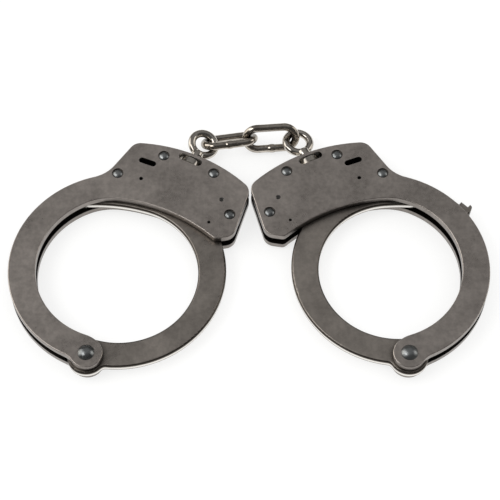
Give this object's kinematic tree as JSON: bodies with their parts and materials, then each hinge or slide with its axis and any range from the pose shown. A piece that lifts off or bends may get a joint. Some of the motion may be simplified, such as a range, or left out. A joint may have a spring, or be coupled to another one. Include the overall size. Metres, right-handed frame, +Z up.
{
  "type": "handcuffs",
  "caption": "Chain-linked handcuffs: flat plate lock cases with swinging ratchet arms, joined by swivel eyes and oval chain links.",
  "frame": {"origin": "middle of the footprint of the two cuffs and chain, at the level of the lowest rivet heads", "axes": "+Z up out of the front cheeks, +X from the left cuff to the right cuff, +Y towards the chain"},
  "size_m": [0.1776, 0.1066, 0.012],
  "materials": {
    "cheek_steel": "satin nickel plate, tumbled",
    "arm_steel": "satin nickel plate, rolled edges",
    "rivet_steel": "bright nickel, domed",
    "pin_steel": "bright",
    "chain_steel": "polished nickel",
    "lock_steel": "dull, unplated",
    "spring_steel": "blued spring steel"
  },
  "bodies": {
    "left_case": {"left_front_cheek": "cheek_steel", "left_rear_cheek": "cheek_steel", "left_upper_spacer": "lock_steel", "left_side_spacer": "lock_steel", "left_pivot_rivet": "rivet_steel", "left_case_rivets": "rivet_steel", "left_pawl_pin": "pin_steel", "left_pawl_stop_pin": "pin_steel", "left_pawl_spring": "spring_steel", "left_double_lock_spring": "spring_steel", "left_key_post": "pin_steel"},
    "left_arm": {"left_ratchet_arm": "arm_steel"},
    "left_pawl": {"left_pawl": "lock_steel"},
    "left_double_lock": {"left_double_lock_bar": "lock_steel"},
    "left_swivel": {"left_swivel": "chain_steel"},
    "link_1": {"chain_link_1": "chain_steel"},
    "link_2": {"chain_link_2": "chain_steel"},
    "right_swivel": {"right_swivel": "chain_steel"},
    "right_case": {"right_front_cheek": "cheek_steel", "right_rear_cheek": "cheek_steel", "right_upper_spacer": "lock_steel", "right_side_spacer": "lock_steel", "right_pivot_rivet": "rivet_steel", "right_case_rivets": "rivet_steel", "right_pawl_pin": "pin_steel", "right_pawl_stop_pin": "pin_steel", "right_pawl_spring": "spring_steel", "right_double_lock_spring": "spring_steel", "right_key_post": "pin_steel"},
    "right_arm": {"right_ratchet_arm": "arm_steel"},
    "right_pawl": {"right_pawl": "lock_steel"},
    "right_double_lock": {"right_double_lock_bar": "lock_steel"}
  },
  "joints": [
    {"name": "left_arm_swing", "type": "hinge", "parent": "left_case", "child": "left_arm", "pos_m": [-0.05811, -0.04629, 0.0053], "axis": [0, 0, 1], "continuous": true},
    {"name": "left_pawl_rock", "type": "hinge", "parent": "left_case", "child": "left_pawl", "pos_m": [-0.01036, 0.01776, 0.0053], "axis": [0, 0, 1], "range_deg": [0, 3.8]},
    {"name": "left_double_lock_slide", "type": "slide", "parent": "left_case", "child": "left_double_lock", "axis": [-0.9272, 0.3746, 0], "range_m": [0, 0.0025]},
    {"name": "right_arm_swing", "type": "hinge", "parent": "right_case", "child": "right_arm", "pos_m": [0.05729, -0.04633, 0.0053], "axis": [0, 0, -1], "continuous": true},
    {"name": "right_pawl_rock", "type": "hinge", "parent": "right_case", "child": "right_pawl", "pos_m": [0.01102, 0.01879, 0.0053], "axis": [0, 0, -1], "range_deg": [0, 3.8]},
    {"name": "right_double_lock_slide", "type": "slide", "parent": "right_case", "child": "right_double_lock", "axis": [0.9355, 0.3533, 0], "range_m": [0, 0.0025]},
    {"name": "left_swivel_turn", "type": "hinge", "parent": "left_case", "child": "left_swivel", "pos_m": [-0.02251, 0.03581, 0.0053], "axis": [0.4384, 0.8988, 0], "range_deg": [-90, 90]},
    {"name": "link_1_swing", "type": "hinge", "parent": "left_swivel", "child": "link_1", "pos_m": [-0.01501, 0.04943, 0.00502], "axis": [-0.7552, 0.5622, 0.3371], "range_deg": [0, 75]},
    {"name": "link_2_swing", "type": "hinge", "parent": "link_1", "child": "link_2", "pos_m": [0.00177, 0.04757, 0.00612], "axis": [-0.284, -0.774, 0.566], "range_deg": [0, 90]},
    {"name": "right_swivel_swing", "type": "hinge", "parent": "link_2", "child": "right_swivel", "pos_m": [0.0182, 0.04815, 0.00667], "axis": [-0.022, 0.469, 0.8829], "range_deg": [0, 75]},
    {"name": "right_case_turn", "type": "hinge", "parent": "right_swivel", "child": "right_case", "pos_m": [0.02358, 0.03656, 0.0053], "axis": [-0.4177, 0.9086, 0], "range_deg": [-90, 90]}
  ]
}
